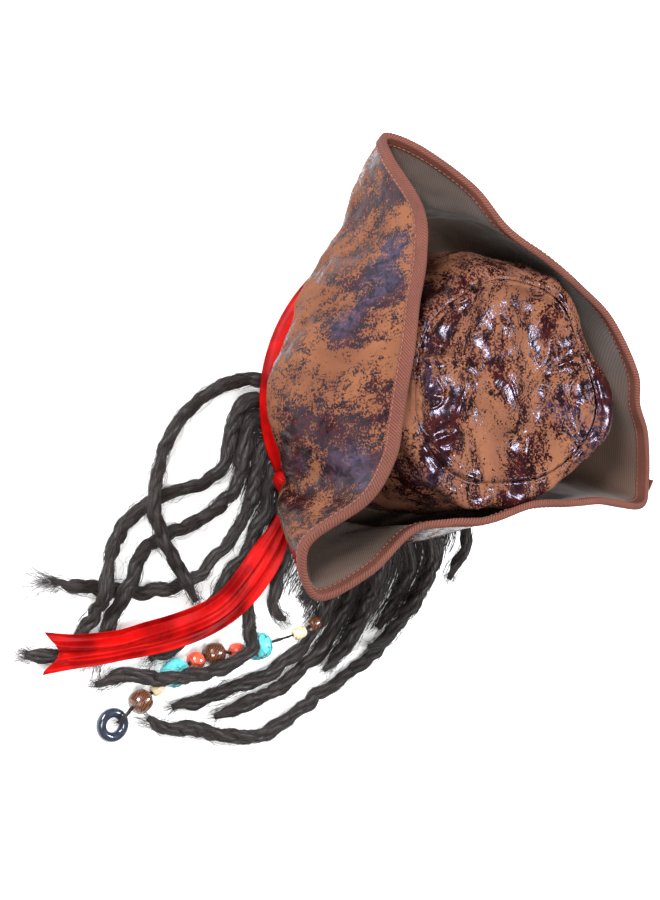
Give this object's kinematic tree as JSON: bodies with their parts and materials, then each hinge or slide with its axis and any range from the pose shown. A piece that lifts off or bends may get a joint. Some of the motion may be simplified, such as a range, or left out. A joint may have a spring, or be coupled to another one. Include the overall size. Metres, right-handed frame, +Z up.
{
  "type": "pirate hat",
  "caption": "Costume tricorn hat in distressed faux leather with a red bandana, long dreadlocks and a bead strand with a ring.",
  "frame": {"origin": "centre of the head opening, on the surface that the hat stands on", "axes": "+Z up through the crown, -Y to the front of the hat, +X to the wearer's left"},
  "size_m": [0.3353, 0.465, 0.1718],
  "materials": {
    "distressed_leather": "distressed, glossy patches",
    "sweatband": "matt",
    "stiffener": "matt felt",
    "lining_twill": "matt twill",
    "binding_tape": "matt diagonal twill",
    "red_satin": "satin",
    "hair": "fibrous",
    "wood_bead": "polished",
    "bone_bead": "satin",
    "turquoise_bead": "polished, veined",
    "coral_bead": "polished",
    "ring_gloss": "glossy"
  },
  "bodies": {
    "root": {"sweatband": "sweatband", "headband": "stiffener", "hair_weft": "hair", "crown_lining": "lining_twill", "crown_side": "distressed_leather", "crown_tip": "distressed_leather", "brim_core": "stiffener", "brim_outer": "distressed_leather", "brim_lining": "lining_twill", "brim_binding": "binding_tape", "binding_end": "binding_tape", "bandana_band": "red_satin", "bandana_knot": "red_satin", "dreadlock_01": "hair", "dreadlock_02": "hair", "dreadlock_03": "hair", "dreadlock_04": "hair", "dreadlock_05": "hair", "dreadlock_06": "hair", "dreadlock_07": "hair", "dreadlock_08": "hair", "dreadlock_09": "hair", "dreadlock_10": "hair", "dreadlock_11": "hair", "dreadlock_12": "hair", "dreadlock_13": "hair", "dreadlock_14": "hair", "dreadlock_15": "hair", "dreadlock_16": "hair", "bead_strand": "hair"},
    "tail_lower": {"tail_lower": "red_satin"},
    "tail_upper": {"tail_upper": "red_satin"},
    "bead_1": {"bead_1": "wood_bead"},
    "bead_2": {"bead_2": "bone_bead"},
    "bead_3": {"bead_3": "turquoise_bead"},
    "bead_4": {"bead_4": "coral_bead"},
    "bead_5": {"bead_5": "wood_bead"},
    "bead_6": {"bead_6": "coral_bead"},
    "bead_7": {"bead_7": "turquoise_bead"},
    "bead_8": {"bead_8": "bone_bead"},
    "bead_9": {"bead_9": "wood_bead"},
    "ring": {"strand_ring": "ring_gloss"}
  },
  "joints": [
    {"name": "tail_lower_lift", "type": "hinge", "parent": "root", "child": "tail_lower", "pos_m": [0.002, 0.126, 0.022], "axis": [1, 0, 0], "range_deg": [0, 18]},
    {"name": "tail_upper_lift", "type": "hinge", "parent": "tail_lower", "child": "tail_upper", "pos_m": [0.004, 0.126, 0.026], "axis": [1, 0, 0], "range_deg": [0, 12]},
    {"name": "bead_1_spin", "type": "hinge", "parent": "root", "child": "bead_1", "pos_m": [-0.077, 0.171, 0.019], "axis": [0.3587, 0.9328, -0.0359], "continuous": true},
    {"name": "bead_2_spin", "type": "hinge", "parent": "root", "child": "bead_2", "pos_m": [-0.072, 0.184, 0.0185], "axis": [0.4568, 0.8701, -0.1849], "continuous": true},
    {"name": "bead_3_spin", "type": "hinge", "parent": "root", "child": "bead_3", "pos_m": [-0.056, 0.211, 0.0105], "axis": [0.526, 0.8294, -0.1881], "continuous": true},
    {"name": "bead_4_spin", "type": "hinge", "parent": "root", "child": "bead_4", "pos_m": [-0.046, 0.225, 0.0092], "axis": [0.6635, 0.7465, -0.0498], "continuous": true},
    {"name": "bead_5_spin", "type": "hinge", "parent": "root", "child": "bead_5", "pos_m": [-0.032, 0.238, 0.0087], "axis": [0.6459, 0.7633, -0.0147], "continuous": true},
    {"name": "bead_6_spin", "type": "hinge", "parent": "root", "child": "bead_6", "pos_m": [-0.024, 0.251, 0.0087], "axis": [0.4701, 0.8814, 0.047], "continuous": true},
    {"name": "bead_7_spin", "type": "hinge", "parent": "root", "child": "bead_7", "pos_m": [-0.016, 0.268, 0.0103], "axis": [0.3119, 0.9498, 0.0255], "continuous": true},
    {"name": "bead_8_spin", "type": "hinge", "parent": "root", "child": "bead_8", "pos_m": [-0.013, 0.2845, 0.0096], "axis": [0.2168, 0.9758, -0.0279], "continuous": true},
    {"name": "bead_9_spin", "type": "hinge", "parent": "root", "child": "bead_9", "pos_m": [-0.009, 0.2995, 0.0094], "axis": [0.2576, 0.9662, -0.0129], "continuous": true},
    {"name": "ring_swing", "type": "hinge", "parent": "root", "child": "ring", "pos_m": [-0.006, 0.3154, 0.0039], "axis": [1, 0, 0], "range_deg": [0, 60]}
  ]
}
